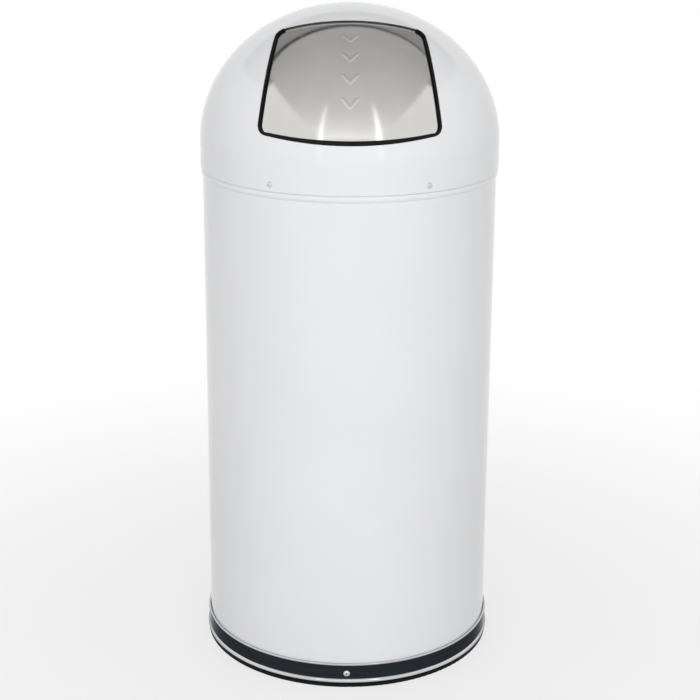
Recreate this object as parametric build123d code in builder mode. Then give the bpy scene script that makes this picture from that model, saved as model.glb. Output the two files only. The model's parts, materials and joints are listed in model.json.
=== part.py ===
from build123d import *
import math
import os

# Dome top trash can: a white enamelled steel tube on a steel-banded rubber foot, with a
# lift-off dome head. A sprung stainless flap, curved like the dome, closes the opening at the
# front. A galvanised liner with a wire bail stands inside. Sizes are in millimetres, z = 0 is
# the floor, the can's axis is Z and the flap faces -Y.

# Sheet and general fits; a rivet's drill is as long as the given number of walls is thick
sheet = 1.0
liner_sheet = 0.8
fit_gap = 0.1
seat_gap = 0.3
running_gap = 0.05
drill_walls = 4

# Tube of the body
body_radius = 168.0
rim_height = 579.0
rim_round = 0.4
bead_height = 8.0
bead_proud = 1.4
bead_drop = 2.0

# Rubber foot ring
foot_ledge_width = 5.0
foot_ledge_height = 6.0
foot_shoulder_height = 4.5
foot_tongue_height = 10.0
foot_round = 1.2
foot_proud = 0.5

# Steel band round the foot of the tube
band_height = 30.0
band_gap = 1.3
band_roll_radius = 1.2
band_roll_proud = 0.4
band_bead_height = 6.0
band_bead_proud = 1.5

# Pressed floor pan
pan_height = 12.0
pan_flange_height = 14.0
pan_corner = 2.5
pan_well_margin = 45.0
pan_well_depth = 4.0
pan_well_slope = 6.0

# Dome head
dome_gap = 1.4
dome_skirt = 30.0
dome_rise = 153.0
hem_height = 2.0
hem_thickness = 2.0
hem_round = 0.9

# Seating collar inside the head
collar_flange_height = 12.0
collar_skirt_depth = 20.0
collar_gap = 0.5

# Blind rivets; the haunch of a head is given in shares of its height and radius
rivet_radius = 2.0
rivet_head_radius = 3.6
rivet_head_height = 1.3
rivet_haunch_rise = 0.7
rivet_haunch_width = 0.72
rivet_bulge_radius = 2.9
rivet_bulge_length = 2.6
rivet_core_radius = 0.95
rivet_core_depth = 2.2
base_rivet_height = 17.5
base_rivet_count = 4
head_rivet_rise = 7.5
head_rivet_angle = 30.0

# Opening in the dome, drawn on a plane that leans back from the vertical
opening_tilt = 39.0
opening_top = 69.0
opening_top_width = 159.0
opening_corner_drop = 61.0
opening_corner_width = 195.5
opening_bottom = 87.0
opening_corner_radius = 13.0

# Rubber trim on the edge of the opening
trim_lip = 1.6
trim_core = 1.2
trim_sill = 3.0
trim_proud = 1.2
trim_back = 1.2
trim_gap_width = 144.0
trim_gap_height = 26.0

# Flap
flap_overlap = 2.2
flap_top_overlap = 7.0

# Hinge of the flap
hinge_back = 28.0
hinge_drop = 42.0
rod_radius = 3.0
rod_chamfer = 0.6
rod_overhang = 6.0
eye_radius = 8.0
lug_thickness = 2.0
lug_foot_width = 10.0
lug_foot_thickness = 1.5
lug_depth = 12.0
flap_lug_place = 70.0
flap_lug_front = -78.0
flap_lug_rear = -54.0
head_lug_place = 80.0
head_lug_front = -20.0
head_lug_rear = 8.0
bush_wall = 1.2
bush_flange_radius = 6.0
clip_radius = 6.0
clip_thickness = 1.2

# Torsion springs on the hinge rod
spring_wire = 1.6
spring_radius = 4.6
spring_pitch = 2.9
spring_turns = 5
spring_place = 52.0
spring_flap_reach = 34.0
spring_head_reach = 24.0

# Liner
liner_drop = 31.0
liner_space = 20.0
liner_taper = 4.0
liner_corner = 4.0
liner_land = 48.0
liner_roll_radius = 2.7
liner_bead_proud = 2.0
liner_bead_height = 12.0
liner_bead_heights = (150.0, 400.0)

# Ears and bail of the liner
ear_thickness = 1.5
ear_width = 20.0
ear_eye_radius = 8.0
ear_length = 43.0
ear_shoulder = 14.0
ear_bend = 7.0
ear_rivet_drops = (22.0, 36.0)
ear_rivet_head = 1.5
ear_rivet_haunch_width = 0.75
ear_rivet_flat_width = 0.3
bail_wire = 5.0
bail_pin_inside = 2.0
bail_pin_outside = 0.5
bail_bend = 4.0

# Places worked out from the sizes above
body_inner = body_radius - sheet
dome_radius = body_radius + dome_gap + sheet
dome_edge = rim_height - bead_drop
spring_line = dome_edge + dome_skirt
overall_height = spring_line + dome_rise
hole_radius = rivet_radius + running_gap
band_inner = body_radius + band_gap
band_outer = band_inner + sheet
pan_top = pan_height + sheet
head_rivet_height = dome_edge + head_rivet_rise
flap_front = sheet + trim_back + seat_gap
flap_back = flap_front + sheet
hinge_y = -hinge_back
hinge_z = overall_height - hinge_drop
liner_foot_radius = body_inner - liner_space - liner_taper
liner_top_radius = liner_foot_radius + liner_taper
liner_top = rim_height - liner_drop
liner_roll_height = liner_top - liner_roll_radius
liner_roll_place = liner_top_radius - liner_sheet + liner_roll_radius
pivot_height = liner_top + seat_gap + bail_wire / 2
far = 2 * dome_radius
opening_lean = math.radians(opening_tilt)
opening_normal = (0, -math.cos(opening_lean), math.sin(opening_lean))
opening_plane = Plane(origin=(0, 0, spring_line), x_dir=(1, 0, 0), z_dir=opening_normal)


def dome_form(inset):
    """Solid of the head's outer shape, set in by the inset all round."""
    radius = dome_radius - inset
    with BuildPart() as form:
        with BuildSketch(Plane.XZ):
            with BuildLine():
                EllipticalCenterArc((0, spring_line), radius, dome_rise - inset, 0, arc_size=90)
                Polyline(
                    (0, overall_height - inset),
                    (0, dome_edge),
                    (radius, dome_edge),
                    (radius, spring_line),
                )
            make_face()
        revolve(axis=Axis.Z)
    return form.part


def dome_height(x, y, inset):
    """Height over the point x, y of the dome's skin, set in by the inset."""
    share = 1 - (x * x + y * y) / (dome_radius - inset) ** 2
    return spring_line + (dome_rise - inset) * math.sqrt(share)


def opening_outline(grow, lift=0.0):
    """Outline of the opening, its top edge lifted and the whole then grown outwards."""
    top = opening_top + lift
    top_half = opening_top_width / 2
    corner_half = opening_corner_width / 2
    with BuildSketch() as outline:
        with BuildLine():
            Polyline(
                (-corner_half, -opening_corner_drop),
                (-top_half, top),
                (top_half, top),
                (corner_half, -opening_corner_drop),
            )
            ThreePointArc(
                (corner_half, -opening_corner_drop),
                (0, -opening_bottom),
                (-corner_half, -opening_corner_drop),
            )
        make_face()
        fillet(outline.vertices(), radius=opening_corner_radius)
        if grow:
            offset(amount=grow, mode=Mode.REPLACE)
    return outline.sketch


def curved_plate(outline, front, back):
    """Piece of a dome-shaped shell, cut to an outline that lies on the opening's plane."""
    skin = dome_form(front)
    core = dome_form(back)
    with BuildPart() as plate:
        with BuildSketch(opening_plane):
            add(outline)
        extrude(amount=far)
        add(skin, mode=Mode.INTERSECT)
        add(core, mode=Mode.SUBTRACT)
    return plate.part


def blind_rivet(face, blind, height):
    """Set blind rivet along X, through a curved wall from its face to its blind side."""
    seat = math.sqrt(blind**2 - rivet_bulge_radius**2)
    tail = seat - rivet_bulge_length
    crown = face + rivet_head_height
    haunch = (
        face + rivet_head_height * rivet_haunch_rise,
        height + rivet_head_radius * rivet_haunch_width,
    )
    with BuildPart() as rivet:
        with BuildSketch(Plane.XZ):
            with BuildLine():
                Polyline(
                    (crown, height + rivet_core_radius),
                    (crown - rivet_core_depth, height + rivet_core_radius),
                    (crown - rivet_core_depth, height),
                    (tail, height),
                    (tail, height + rivet_radius),
                    ((seat + tail) / 2, height + rivet_bulge_radius),
                    (seat, height + rivet_bulge_radius),
                    (seat, height + rivet_radius),
                    (face, height + rivet_radius),
                    (face, height + rivet_head_radius),
                )
                ThreePointArc(
                    (face, height + rivet_head_radius),
                    haunch,
                    (crown, height + rivet_core_radius),
                )
            make_face()
        revolve(axis=Axis((0, 0, height), (1, 0, 0)))
    return rivet.part


def bracket(place, front, rear, inset, eye_hole):
    """Lug with an eye on the hinge line, and a foot bent to follow the inside of a shell."""
    skin = dome_form(inset)
    core = dome_form(inset + lug_foot_thickness)
    foot_top = dome_height(place, 0, inset)
    foot_low = dome_height(place, max(abs(front), abs(rear)), inset) - lug_depth
    middle = (front + rear) / 2
    with BuildPart() as foot:
        with BuildSketch(Plane.XY.offset(foot_low)):
            with Locations((place + lug_foot_width / 2, middle)):
                Rectangle(lug_foot_width, rear - front)
        extrude(amount=dome_rise)
        add(skin, mode=Mode.INTERSECT)
        add(core, mode=Mode.SUBTRACT)
    with BuildPart() as lug:
        with BuildSketch(Plane.YZ.offset(place)):
            with Locations((hinge_y, hinge_z)):
                Circle(eye_radius)
            with Locations((middle, (foot_low + foot_top) / 2)):
                Rectangle(rear - front, foot_top - foot_low)
            make_hull()
        extrude(amount=lug_thickness / 2, both=True)
        add(skin, mode=Mode.INTERSECT)
        add(foot.part)
        with Locations(Location((place, hinge_y, hinge_z), (0, 90, 0))):
            Cylinder(eye_hole, drill_walls * lug_thickness, mode=Mode.SUBTRACT)
    return lug.part


def mirrored(part):
    """The same piece for the other side of the can."""
    return part.mirror(Plane.YZ)


def biarc(start, start_way, end, end_way):
    """Two arcs that join two points smoothly, leaving and arriving in the given directions."""
    chord = end - start
    ways = start_way + end_way
    bend = ways.dot(ways) - 4
    along = chord.dot(ways)
    length = (along - math.sqrt(along**2 - bend * chord.dot(chord))) / bend
    first = start + start_way * length
    last = end - end_way * length
    middle = (first + last) * 0.5
    TangentArc(start, middle, tangent=start_way)
    TangentArc(middle, end, tangent=(last - first).normalized())


# Foot ring: a rubber moulding under the tube, with a tongue between the tube and the band
foot_outer = band_outer + foot_proud
with BuildPart() as foot_ring:
    with BuildSketch(Plane.XZ) as foot_section:
        with BuildLine():
            Polyline(
                (body_inner - foot_ledge_width, 0),
                (foot_outer, 0),
                (foot_outer, foot_shoulder_height),
                (band_inner - fit_gap, foot_shoulder_height),
                (band_inner - fit_gap, foot_tongue_height),
                (body_radius + fit_gap, foot_tongue_height),
                (body_radius + fit_gap, foot_ledge_height),
                (body_inner - foot_ledge_width, foot_ledge_height),
                close=True,
            )
        make_face()
        fillet(foot_section.vertices().group_by(Axis.Y)[0], radius=foot_round)
    revolve(axis=Axis.Z)
foot_ring.part.label = "foot_ring"

# Base ring: a steel band with a rolled top edge and a half-round bead that sits on the foot
bead_middle = foot_shoulder_height + band_bead_height / 2
bead_top = foot_shoulder_height + band_bead_height
roll_height = band_height - band_roll_radius
with BuildPart() as base_ring:
    with BuildSketch(Plane.XZ):
        with BuildLine():
            ThreePointArc(
                (band_outer, foot_shoulder_height),
                (band_outer + band_bead_proud, bead_middle),
                (band_outer, bead_top),
            )
            Polyline(
                (band_outer, bead_top),
                (band_outer, roll_height),
                (band_inner, roll_height),
                (band_inner, bead_top),
            )
            ThreePointArc(
                (band_inner, bead_top),
                (band_inner + band_bead_proud, bead_middle),
                (band_inner, foot_shoulder_height),
            )
            Line((band_inner, foot_shoulder_height), (band_outer, foot_shoulder_height))
        make_face()
        with Locations((band_outer + band_roll_proud - band_roll_radius, roll_height)):
            Circle(band_roll_radius)
    revolve(axis=Axis.Z)
    with PolarLocations(0, base_rivet_count):
        with Locations(Location((band_inner, 0, base_rivet_height), (0, 90, 0))):
            Cylinder(hole_radius, drill_walls * sheet, mode=Mode.SUBTRACT)
base_ring.part.label = "base_ring"

# Body shell: the tube, with a swaged bead just under the edge of the head
swage_low = dome_edge - bead_height
swage_middle = dome_edge - bead_height / 2
with BuildPart() as body_shell:
    with BuildSketch(Plane.XZ) as shell_section:
        with BuildLine():
            Polyline(
                (body_inner, swage_low),
                (body_inner, foot_ledge_height),
                (body_radius, foot_ledge_height),
                (body_radius, swage_low),
            )
            ThreePointArc(
                (body_radius, swage_low),
                (body_radius + bead_proud, swage_middle),
                (body_radius, dome_edge),
            )
            Polyline(
                (body_radius, dome_edge),
                (body_radius, rim_height),
                (body_inner, rim_height),
                (body_inner, dome_edge),
            )
            ThreePointArc(
                (body_inner, dome_edge),
                (body_inner + bead_proud, swage_middle),
                (body_inner, swage_low),
            )
        make_face()
        fillet(shell_section.vertices().group_by(Axis.Y)[-1], radius=rim_round)
    revolve(axis=Axis.Z)
    with PolarLocations(0, base_rivet_count):
        with Locations(Location((body_inner, 0, base_rivet_height), (0, 90, 0))):
            Cylinder(hole_radius, drill_walls * sheet, mode=Mode.SUBTRACT)
body_shell.part.label = "body_shell"

# Floor pan: pressed, with an upturned flange inside the tube and a shallow well
pan_radius = body_inner - fit_gap
pan_well = pan_radius - pan_well_margin
pan_flange_top = pan_height + pan_flange_height
with BuildPart() as body_floor:
    with BuildSketch(Plane.XZ) as pan_section:
        with BuildLine():
            Polyline(
                (0, pan_height - pan_well_depth),
                (pan_well - pan_well_slope, pan_height - pan_well_depth),
                (pan_well, pan_height),
                (pan_radius, pan_height),
                (pan_radius, pan_flange_top),
                (pan_radius - sheet, pan_flange_top),
                (pan_radius - sheet, pan_top),
                (pan_well, pan_top),
                (pan_well - pan_well_slope, pan_top - pan_well_depth),
                (0, pan_top - pan_well_depth),
                close=True,
            )
        make_face()
        outer_corner = pan_section.vertices().sort_by_distance((pan_radius, pan_height))[0]
        fillet(outer_corner, radius=pan_corner)
        inner_corner = pan_section.vertices().sort_by_distance((pan_radius - sheet, pan_top))[0]
        fillet(inner_corner, radius=pan_corner - sheet)
    revolve(axis=Axis.Z)
    with PolarLocations(0, base_rivet_count):
        with Locations(Location((pan_radius, 0, base_rivet_height), (0, 90, 0))):
            Cylinder(hole_radius, drill_walls * sheet, mode=Mode.SUBTRACT)
body_floor.part.label = "body_floor"

# Base rivets: through band, tube and pan flange
base_rivet = blind_rivet(band_outer, pan_radius - sheet, base_rivet_height)
with BuildPart() as base_rivets:
    with PolarLocations(0, base_rivet_count):
        add(base_rivet)
base_rivets.part.label = "base_rivets"

# Dome head: a spun shell with a short skirt, a hemmed edge and the punched opening
head_rivet_places = [
    Location((0, 0, 0), (0, 0, facing + side * head_rivet_angle))
    for facing in (-90, 90)
    for side in (-1, 1)
]
dome_skin = dome_form(0)
dome_core = dome_form(sheet)
sheet_edge = opening_outline(0)
with BuildPart() as dome_head:
    add(dome_skin)
    add(dome_core, mode=Mode.SUBTRACT)
    with BuildSketch(Plane.XY.offset(dome_edge)):
        Circle(dome_radius)
        Circle(dome_radius - hem_thickness, mode=Mode.SUBTRACT)
    extrude(amount=hem_height)
    fillet(dome_head.edges().group_by(Axis.Z)[0], radius=hem_round)
    with BuildSketch(opening_plane):
        add(sheet_edge)
    extrude(amount=far, mode=Mode.SUBTRACT)
    with Locations(head_rivet_places):
        with Locations(Location((dome_radius, 0, head_rivet_height), (0, 90, 0))):
            Cylinder(hole_radius, drill_walls * sheet, mode=Mode.SUBTRACT)
dome_head.part.label = "dome_head"

# Head collar: riveted inside the skirt, it rests on the tube's rim and centres the head
collar_outer = dome_radius - sheet - fit_gap
collar_guide = body_inner - collar_gap
collar_seat = rim_height + seat_gap
with BuildPart() as head_collar:
    with BuildSketch(Plane.XZ):
        with BuildLine():
            Polyline(
                (collar_outer, collar_seat),
                (collar_outer, collar_seat + collar_flange_height),
                (collar_outer - sheet, collar_seat + collar_flange_height),
                (collar_outer - sheet, collar_seat + sheet),
                (collar_guide - sheet, collar_seat + sheet),
                (collar_guide - sheet, collar_seat - collar_skirt_depth),
                (collar_guide, collar_seat - collar_skirt_depth),
                (collar_guide, collar_seat),
                close=True,
            )
        make_face()
    revolve(axis=Axis.Z)
    with Locations(head_rivet_places):
        with Locations(Location((collar_outer, 0, head_rivet_height), (0, 90, 0))):
            Cylinder(hole_radius, drill_walls * sheet, mode=Mode.SUBTRACT)
head_collar.part.label = "head_collar"

# Head rivets: through skirt and collar
head_rivet = blind_rivet(dome_radius, collar_outer - sheet, head_rivet_height)
with BuildPart() as head_rivets:
    with Locations(head_rivet_places):
        add(head_rivet)
head_rivets.part.label = "head_rivets"

# Opening trim: U-shaped rubber edging along the sides and the sill, open along the top
trim_outside = opening_outline(trim_lip)
trim_inside = opening_outline(-trim_core)
slot_edge = opening_outline(-fit_gap)
with BuildSketch() as trim_window:
    add(trim_inside)
    with Locations((0, trim_sill)):
        add(trim_inside, mode=Mode.INTERSECT)
with BuildSketch() as trim_face:
    add(trim_outside)
    add(trim_window.sketch, mode=Mode.SUBTRACT)
    with Locations((0, opening_top)):
        Rectangle(trim_gap_width, trim_gap_height, mode=Mode.SUBTRACT)
with BuildSketch() as slot_face:
    add(opening_outline(trim_lip + trim_core))
    add(slot_edge, mode=Mode.SUBTRACT)
trim_solid = curved_plate(trim_face.sketch, -trim_proud, sheet + trim_back)
slot_solid = curved_plate(slot_face.sketch, -fit_gap, sheet + fit_gap)
with BuildPart() as opening_trim:
    add(trim_solid)
    add(slot_solid, mode=Mode.SUBTRACT)
opening_trim.part.label = "opening_trim"

# Flap plate: curved like the dome, a little larger than the opening and behind the trim
flap_outline = opening_outline(flap_overlap, flap_top_overlap - flap_overlap)
flap_solid = curved_plate(flap_outline, flap_front, flap_back)
with BuildPart() as flap_plate:
    add(flap_solid)
flap_plate.part.label = "flap_plate"

# Hinge brackets: one pair is welded under the dome, the other behind the flap
bush_radius = rod_radius + running_gap + bush_wall
head_bracket = bracket(
    head_lug_place, head_lug_front, head_lug_rear, sheet, rod_radius + running_gap
)
flap_bracket = bracket(
    flap_lug_place, flap_lug_front, flap_lug_rear, flap_back, bush_radius + running_gap
)
with BuildPart() as head_bracket_right:
    add(head_bracket)
head_bracket_right.part.label = "head_bracket_right"
with BuildPart() as head_bracket_left:
    add(mirrored(head_bracket))
head_bracket_left.part.label = "head_bracket_left"
with BuildPart() as flap_bracket_right:
    add(flap_bracket)
flap_bracket_right.part.label = "flap_bracket_right"
with BuildPart() as flap_bracket_left:
    add(mirrored(flap_bracket))
flap_bracket_left.part.label = "flap_bracket_left"

# Hinge rod: runs through all four brackets
rod_half = head_lug_place + rod_overhang
with BuildPart() as hinge_rod:
    with BuildSketch(Plane.YZ):
        with Locations((hinge_y, hinge_z)):
            Circle(rod_radius)
    extrude(amount=rod_half, both=True)
    chamfer(hinge_rod.faces().filter_by(Axis.X).edges(), length=rod_chamfer)
hinge_rod.part.label = "hinge_rod"

# Rod clips: pushed onto the rod's ends against the outer brackets
clip_place = head_lug_place + lug_thickness / 2 + seat_gap
with BuildPart() as rod_clips:
    for side in (-1, 1):
        with BuildSketch(Plane.YZ.offset(side * clip_place)):
            with Locations((hinge_y, hinge_z)):
                Circle(clip_radius)
                Circle(rod_radius + running_gap / 2, mode=Mode.SUBTRACT)
        extrude(amount=side * clip_thickness)
rod_clips.part.label = "rod_clips"

# Hinge bushes: nylon sleeves in the flap's eyes, flanged to keep the flap in the middle
bush_start = flap_lug_place - lug_thickness / 2 - running_gap
flange_start = flap_lug_place + lug_thickness / 2 + running_gap
flange_end = head_lug_place - lug_thickness / 2 - seat_gap
with BuildPart() as hinge_bush_right:
    with BuildSketch(Plane.YZ.offset(bush_start)):
        with Locations((hinge_y, hinge_z)):
            Circle(bush_radius)
    extrude(amount=flange_end - bush_start)
    with BuildSketch(Plane.YZ.offset(flange_start)):
        with Locations((hinge_y, hinge_z)):
            Circle(bush_flange_radius)
    extrude(amount=flange_end - flange_start)
    with Locations(Location((head_lug_place, hinge_y, hinge_z), (0, 90, 0))):
        Cylinder(rod_radius + running_gap, head_lug_place, mode=Mode.SUBTRACT)
hinge_bush_right.part.label = "hinge_bush_right"
bush_copy = mirrored(hinge_bush_right.part)
with BuildPart() as hinge_bush_left:
    add(bush_copy)
hinge_bush_left.part.label = "hinge_bush_left"

# Torsion springs: coils round the rod, one leg under the dome and one behind the flap
leg_gap = spring_wire / 2 + seat_gap
coil_steps = 2 * spring_turns
step_advance = spring_pitch / 2
head_leg_x = spring_place
flap_leg_x = spring_place + (coil_steps - 1) * step_advance
head_leg_y = hinge_y + spring_head_reach
flap_leg_y = hinge_y - spring_flap_reach
head_leg_end = Vector(head_leg_x, head_leg_y, dome_height(head_leg_x, head_leg_y, sheet + leg_gap))
flap_leg_end = Vector(
    flap_leg_x, flap_leg_y, dome_height(flap_leg_x, flap_leg_y, flap_back + leg_gap)
)


def coil_angle(leg_end, side):
    """Angle on the coil where a straight leg from its end touches it."""
    leg = Vector(0, leg_end.Y - hinge_y, leg_end.Z - hinge_z)
    return math.atan2(leg.Z, leg.Y) + side * math.acos(spring_radius / leg.length)


coil_start = coil_angle(head_leg_end, 1)
coil_sweep = coil_angle(flap_leg_end, -1) - coil_start + 2 * math.pi * spring_turns
step_angle = coil_sweep / coil_steps
coil_slope = step_advance / (spring_radius * step_angle)
coil_points = []
coil_ways = []
for step in range(coil_steps + 1):
    angle = coil_start + step * step_angle
    end_step = step in (0, coil_steps)
    advance = min(max(step - 0.5, 0), coil_steps - 1) * step_advance
    slope = 0 if end_step else coil_slope
    circle = Vector(0, math.cos(angle), math.sin(angle)) * spring_radius
    coil_points.append(Vector(head_leg_x + advance, hinge_y, hinge_z) + circle)
    coil_ways.append(Vector(slope, -math.sin(angle), math.cos(angle)).normalized())

with BuildPart() as torsion_spring_right:
    with BuildLine() as spring_path:
        Line(head_leg_end, coil_points[0])
        for step in range(coil_steps):
            biarc(
                coil_points[step],
                coil_ways[step],
                coil_points[step + 1],
                coil_ways[step + 1],
            )
        Line(coil_points[-1], flap_leg_end)
    with BuildSketch(Plane(origin=head_leg_end, z_dir=coil_ways[0])):
        Circle(spring_wire / 2)
    sweep()
torsion_spring_right.part.label = "torsion_spring_right"
spring_copy = mirrored(torsion_spring_right.part)
with BuildPart() as torsion_spring_left:
    add(spring_copy)
torsion_spring_left.part.label = "torsion_spring_left"


def least_gap(path, wire, points_per_edge=8):
    """Least clear distance between stretches of a wire that lie apart along its length."""
    points = []
    travelled = 0.0
    for edge in path.edges():
        for index in range(points_per_edge):
            share = index / points_per_edge
            points.append((travelled + share * edge.length, edge @ share))
        travelled += edge.length
    apart = math.pi * spring_radius
    return min(
        (far_point - near_point).length - wire
        for near, near_point in points
        for distant, far_point in points
        if distant - near > apart
    )


print("least gap in a torsion spring:", round(least_gap(spring_path.line, spring_wire), 2))


def liner_radius(height):
    """Outer radius of the liner's wall: a slight taper, then upright under the rim."""
    tapered = liner_top - liner_land - pan_top
    return liner_foot_radius + liner_taper * min(1, (height - pan_top) / tapered)


def liner_form(inset):
    """Solid of the liner's outer shape, set in by the inset all round."""
    foot = pan_top + inset
    with BuildPart() as form:
        with BuildSketch(Plane.XZ) as section:
            with BuildLine():
                corner = (liner_foot_radius - inset, foot)
                Polyline((0, liner_roll_height), (0, foot), corner)
                edge = corner
                for middle in liner_bead_heights:
                    heights = [middle + share * liner_bead_height for share in (-0.5, 0, 0.5)]
                    low, mid, high = [(liner_radius(z) - inset, z) for z in heights]
                    Line(edge, low)
                    ThreePointArc(low, (mid[0] + liner_bead_proud, middle), high)
                    edge = high
                land = (liner_top_radius - inset, liner_top - liner_land)
                brim = (liner_top_radius - inset, liner_roll_height)
                Polyline(edge, land, brim, (0, liner_roll_height))
            make_face()
            fillet(section.vertices().sort_by_distance(corner)[0], radius=liner_corner - inset)
        revolve(axis=Axis.Z)
    return form.part


# Liner bucket: rolled galvanised sheet with two swaged beads and a rim rolled outwards
liner_skin = liner_form(0)
liner_core = liner_form(liner_sheet)
ear_rivet_heights = [liner_top - drop for drop in ear_rivet_drops]
with BuildPart() as liner_bucket:
    add(liner_skin)
    add(liner_core, mode=Mode.SUBTRACT)
    with BuildSketch(Plane.XZ):
        with Locations((liner_roll_place, liner_roll_height)):
            Circle(liner_roll_radius)
    revolve(axis=Axis.Z)
    for height in ear_rivet_heights:
        with Locations(Location((0, 0, height), (0, 90, 0))):
            Cylinder(hole_radius, far, mode=Mode.SUBTRACT)
liner_bucket.part.label = "liner_bucket"

# Liner ears: strips riveted to the wall and stepped out past the rim, with an eye each
ear_inner = liner_roll_place + liner_roll_radius + fit_gap
ear_foot = liner_top - ear_length
ear_bend_low = liner_top - ear_shoulder
ear_bend_high = liner_top - ear_bend
ear_crown = pivot_height + ear_eye_radius
with BuildPart() as liner_ear_right:
    with BuildSketch(Plane.XZ):
        with BuildLine():
            Polyline(
                (liner_top_radius, ear_foot),
                (liner_top_radius, ear_bend_low),
                (ear_inner, ear_bend_high),
                (ear_inner, ear_crown),
                (ear_inner + ear_thickness, ear_crown),
                (ear_inner + ear_thickness, ear_bend_high),
                (liner_top_radius + ear_thickness, ear_bend_low),
                (liner_top_radius + ear_thickness, ear_foot),
                close=True,
            )
        make_face()
    extrude(amount=ear_width / 2, both=True)
    with BuildSketch(Plane.YZ):
        with Locations((0, (ear_foot + ear_bend_high) / 2)):
            Rectangle(ear_width, ear_bend_high - ear_foot)
        with Locations((0, pivot_height)):
            Circle(ear_eye_radius)
        make_hull()
    extrude(amount=far, mode=Mode.INTERSECT)
    with Locations(Location((ear_inner, 0, pivot_height), (0, 90, 0))):
        Cylinder(bail_wire / 2 + running_gap, drill_walls * ear_thickness, mode=Mode.SUBTRACT)
    for height in ear_rivet_heights:
        with Locations(Location((liner_top_radius, 0, height), (0, 90, 0))):
            Cylinder(hole_radius, drill_walls * ear_thickness, mode=Mode.SUBTRACT)
liner_ear_right.part.label = "liner_ear_right"
ear_copy = mirrored(liner_ear_right.part)
with BuildPart() as liner_ear_left:
    add(ear_copy)
liner_ear_left.part.label = "liner_ear_left"

# Ear rivets: solid rivets through each ear and the liner's wall
ear_rivet_face = liner_top_radius + ear_thickness
ear_rivet_back = math.sqrt((liner_top_radius - liner_sheet) ** 2 - rivet_head_radius**2)
ear_rivet_flat = rivet_head_radius * ear_rivet_flat_width
ear_rivet_haunch = rivet_head_radius * ear_rivet_haunch_width
ear_rivet_rise = ear_rivet_head * rivet_haunch_rise
with BuildPart() as ear_rivet:
    with BuildSketch(Plane.XZ):
        with BuildLine():
            Polyline(
                (ear_rivet_face, rivet_head_radius),
                (ear_rivet_face, rivet_radius),
                (ear_rivet_back, rivet_radius),
                (ear_rivet_back, rivet_head_radius),
            )
            ThreePointArc(
                (ear_rivet_back, rivet_head_radius),
                (ear_rivet_back - ear_rivet_rise, ear_rivet_haunch),
                (ear_rivet_back - ear_rivet_head, ear_rivet_flat),
            )
            Polyline(
                (ear_rivet_back - ear_rivet_head, ear_rivet_flat),
                (ear_rivet_back - ear_rivet_head, 0),
                (ear_rivet_face + ear_rivet_head, 0),
                (ear_rivet_face + ear_rivet_head, ear_rivet_flat),
            )
            ThreePointArc(
                (ear_rivet_face + ear_rivet_head, ear_rivet_flat),
                (ear_rivet_face + ear_rivet_rise, ear_rivet_haunch),
                (ear_rivet_face, rivet_head_radius),
            )
        make_face()
    revolve(axis=Axis.X)
ear_rivet_places = [
    Location((0, 0, height), (0, 0, turn)) for height in ear_rivet_heights for turn in (0, 180)
]
with BuildPart() as ear_rivets:
    with Locations(ear_rivet_places):
        add(ear_rivet.part)
ear_rivets.part.label = "ear_rivets"

# Liner handle: a wire bail, pinned in the ears and lying back on the liner's rim
pin_inner = ear_inner - bail_pin_inside
pin_outer = ear_inner + ear_thickness + bail_pin_outside
bow_depth = liner_roll_place - 2 * bail_bend
bow_radius = (pin_outer**2 / bow_depth + liner_roll_place) / 2
bow_lean = math.degrees(math.asin(pin_outer / (bow_radius - bail_bend)))
with BuildPart() as liner_handle:
    with BuildLine(Plane.XY.offset(pivot_height)):
        right_pin = Line((pin_inner, 0), (pin_outer, 0))
        right_bend = JernArc(right_pin @ 1, right_pin % 1, bail_bend, 180 - bow_lean)
        bow = JernArc(right_bend @ 1, right_bend % 1, bow_radius, 2 * bow_lean)
        left_bend = JernArc(bow @ 1, bow % 1, bail_bend, 180 - bow_lean)
        Line(left_bend @ 1, (-pin_inner, 0))
    with BuildSketch(Plane(origin=(pin_inner, 0, pivot_height), z_dir=(1, 0, 0))):
        Circle(bail_wire / 2)
    sweep()
liner_handle.part.label = "liner_handle"

# One file for each piece
os.makedirs("parts", exist_ok=True)
export_step(foot_ring.part, "parts/foot_ring.step")
export_step(base_ring.part, "parts/base_ring.step")
export_step(body_shell.part, "parts/body_shell.step")
export_step(body_floor.part, "parts/body_floor.step")
export_step(base_rivets.part, "parts/base_rivets.step")
export_step(dome_head.part, "parts/dome_head.step")
export_step(head_collar.part, "parts/head_collar.step")
export_step(head_rivets.part, "parts/head_rivets.step")
export_step(opening_trim.part, "parts/opening_trim.step")
export_step(flap_plate.part, "parts/flap_plate.step")
export_step(head_bracket_right.part, "parts/head_bracket_right.step")
export_step(head_bracket_left.part, "parts/head_bracket_left.step")
export_step(flap_bracket_right.part, "parts/flap_bracket_right.step")
export_step(flap_bracket_left.part, "parts/flap_bracket_left.step")
export_step(hinge_rod.part, "parts/hinge_rod.step")
export_step(rod_clips.part, "parts/rod_clips.step")
export_step(hinge_bush_right.part, "parts/hinge_bush_right.step")
export_step(hinge_bush_left.part, "parts/hinge_bush_left.step")
export_step(torsion_spring_right.part, "parts/torsion_spring_right.step")
export_step(torsion_spring_left.part, "parts/torsion_spring_left.step")
export_step(liner_bucket.part, "parts/liner_bucket.step")
export_step(liner_ear_right.part, "parts/liner_ear_right.step")
export_step(liner_ear_left.part, "parts/liner_ear_left.step")
export_step(ear_rivets.part, "parts/ear_rivets.step")
export_step(liner_handle.part, "parts/liner_handle.step")
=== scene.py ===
"""Looks of the dome top trash can: fine sheet pieces, finishes and a small studio."""

import json
import math

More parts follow.
